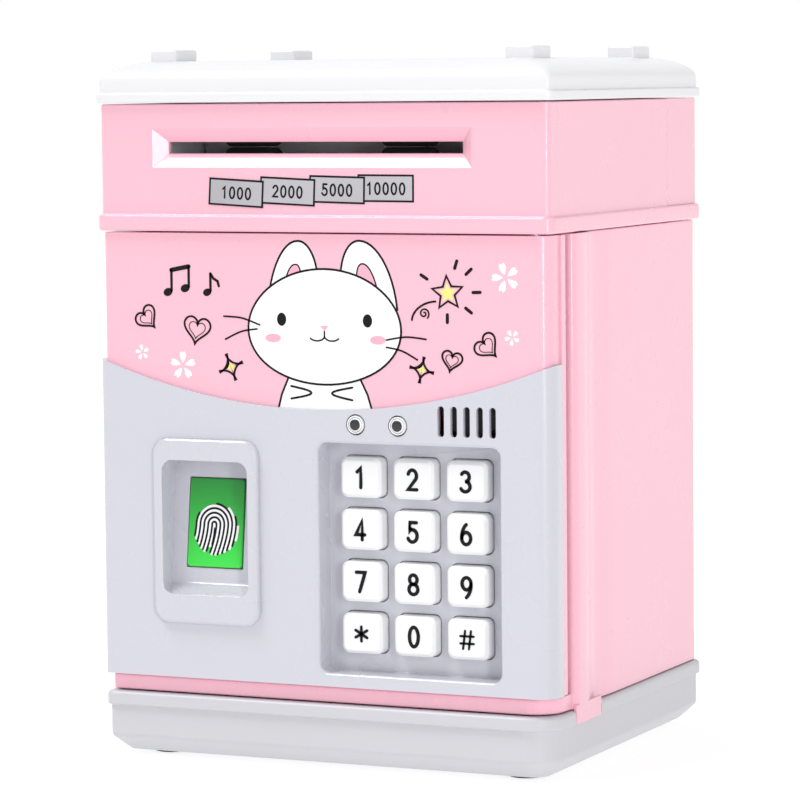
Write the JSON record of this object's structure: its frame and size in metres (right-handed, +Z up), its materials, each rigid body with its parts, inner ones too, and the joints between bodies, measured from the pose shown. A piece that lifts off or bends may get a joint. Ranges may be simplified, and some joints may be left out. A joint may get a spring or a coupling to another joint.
{
  "type": "toy safe coin bank",
  "caption": "Box-shaped toy safe money bank with a hinged keypad door, fingerprint pad, bill slot with feed rollers, coin slot lid and battery base.",
  "frame": {"origin": "on the floor under the middle of the box", "axes": "+Z up, the door faces -Y, the door's hinge is on the +X side"},
  "size_m": [0.1326, 0.1119, 0.1906],
  "materials": {
    "pink_shell": "moulded pink ABS, soft gloss",
    "white_shell": "moulded white ABS, soft gloss",
    "grey_shell": "moulded pale lavender-grey ABS, satin",
    "key_cap": "moulded near-white caps, printed black figures",
    "inner_plastic": "natural inner mouldings",
    "gear_plastic": "acetal",
    "dark_plastic": "black moulded parts",
    "rubber": "soft black rubber",
    "board": "circuit board",
    "green_window": "translucent green pad",
    "lamp": "clear lamp domes",
    "steel": "plated steel",
    "cell_skin": "plain battery sleeve"
  },
  "bodies": {
    "root": {"base_plinth": "grey_shell", "battery_contact_left": "steel", "battery_contact_right": "steel", "body_shell": "pink_shell", "head_shell": "pink_shell", "head_rear_cover": "pink_shell", "top_lid": "white_shell", "coin_chute": "inner_plastic", "mechanism_frame": "inner_plastic", "feed_motor": "steel", "bill_guide": "inner_plastic", "rubber_foot_front_left": "rubber", "base_screw_front_left": "steel", "rubber_foot_front_right": "rubber", "base_screw_front_right": "steel", "rubber_foot_rear_left": "rubber", "base_screw_rear_left": "steel", "rubber_foot_rear_right": "rubber", "base_screw_rear_right": "steel", "battery_1": "cell_skin", "battery_2": "cell_skin", "battery_3": "cell_skin"},
    "door": {"door_shell": "pink_shell", "door_fascia": "grey_shell", "keypad_mat": "rubber", "keypad_board": "board", "indicator_led_left": "lamp", "indicator_led_right": "lamp", "speaker": "dark_plastic", "fingerprint_housing": "grey_shell", "fingerprint_board": "board", "door_back_cover": "pink_shell", "lock_solenoid": "dark_plastic", "hinge_pin_bottom": "steel", "hinge_pin_top": "steel"},
    "fingerprint_button": {"fingerprint_window": "green_window"},
    "bolt": {"lock_bolt": "steel"},
    "battery_door": {"battery_cover": "grey_shell", "battery_cover_screw": "steel"},
    "drive_roller": {"drive_shaft": "steel", "drive_roller_left": "rubber", "drive_roller_right": "rubber", "drive_gear": "gear_plastic"},
    "idler_roller": {"idler_shaft": "steel", "idler_roller_left": "rubber", "idler_roller_right": "rubber"},
    "pinion": {"motor_pinion": "gear_plastic"},
    "button_1": {"key_1": "key_cap"},
    "button_2": {"key_2": "key_cap"},
    "button_3": {"key_3": "key_cap"},
    "button_4": {"key_4": "key_cap"},
    "button_5": {"key_5": "key_cap"},
    "button_6": {"key_6": "key_cap"},
    "button_7": {"key_7": "key_cap"},
    "button_8": {"key_8": "key_cap"},
    "button_9": {"key_9": "key_cap"},
    "button_star": {"key_star": "key_cap"},
    "button_0": {"key_0": "key_cap"},
    "button_hash": {"key_hash": "key_cap"}
  },
  "joints": [
    {"name": "door_hinge", "type": "hinge", "parent": "root", "child": "door", "pos_m": [0.0588, -0.0482, 0.082], "axis": [0, 0, 1], "range_deg": [0, 105]},
    {"name": "fingerprint_press", "type": "slide", "parent": "door", "child": "fingerprint_button", "axis": [0, 0.9929, -0.1191], "range_m": [0, 0.0008], "stiffness_N_per_m": 400},
    {"name": "bolt_slide", "type": "slide", "parent": "door", "child": "bolt", "axis": [-1, 0, 0], "range_m": [0, 0.0046]},
    {"name": "battery_cover_hinge", "type": "hinge", "parent": "root", "child": "battery_door", "pos_m": [0, 0.02715, 0.00175], "axis": [1, 0, 0], "range_deg": [0, 75]},
    {"name": "drive_spin", "type": "hinge", "parent": "root", "child": "drive_roller", "pos_m": [0, -0.04, 0.15935], "axis": [1, 0, 0], "continuous": true},
    {"name": "idler_spin", "type": "hinge", "parent": "root", "child": "idler_roller", "pos_m": [0, -0.04, 0.16965], "axis": [1, 0, 0], "continuous": true},
    {"name": "pinion_spin", "type": "hinge", "parent": "root", "child": "pinion", "pos_m": [0.0467, -0.0255, 0.15935], "axis": [1, 0, 0], "continuous": true},
    {"name": "press_1", "type": "slide", "parent": "door", "child": "button_1", "axis": [0, 1, 0], "range_m": [0, 0.0012], "stiffness_N_per_m": 300},
    {"name": "press_2", "type": "slide", "parent": "door", "child": "button_2", "axis": [0, 1, 0], "range_m": [0, 0.0012], "stiffness_N_per_m": 300},
    {"name": "press_3", "type": "slide", "parent": "door", "child": "button_3", "axis": [0, 1, 0], "range_m": [0, 0.0012], "stiffness_N_per_m": 300},
    {"name": "press_4", "type": "slide", "parent": "door", "child": "button_4", "axis": [0, 1, 0], "range_m": [0, 0.0012], "stiffness_N_per_m": 300},
    {"name": "press_5", "type": "slide", "parent": "door", "child": "button_5", "axis": [0, 1, 0], "range_m": [0, 0.0012], "stiffness_N_per_m": 300},
    {"name": "press_6", "type": "slide", "parent": "door", "child": "button_6", "axis": [0, 1, 0], "range_m": [0, 0.0012], "stiffness_N_per_m": 300},
    {"name": "press_7", "type": "slide", "parent": "door", "child": "button_7", "axis": [0, 1, 0], "range_m": [0, 0.0012], "stiffness_N_per_m": 300},
    {"name": "press_8", "type": "slide", "parent": "door", "child": "button_8", "axis": [0, 1, 0], "range_m": [0, 0.0012], "stiffness_N_per_m": 300},
    {"name": "press_9", "type": "slide", "parent": "door", "child": "button_9", "axis": [0, 1, 0], "range_m": [0, 0.0012], "stiffness_N_per_m": 300},
    {"name": "press_star", "type": "slide", "parent": "door", "child": "button_star", "axis": [0, 1, 0], "range_m": [0, 0.0012], "stiffness_N_per_m": 300},
    {"name": "press_0", "type": "slide", "parent": "door", "child": "button_0", "axis": [0, 1, 0], "range_m": [0, 0.0012], "stiffness_N_per_m": 300},
    {"name": "press_hash", "type": "slide", "parent": "door", "child": "button_hash", "axis": [0, 1, 0], "range_m": [0, 0.0012], "stiffness_N_per_m": 300}
  ],
  "couplings": [
    {"joint": "pinion_spin", "follows": "drive_spin", "ratio": -2},
    {"joint": "idler_spin", "follows": "drive_spin", "ratio": -1}
  ]
}
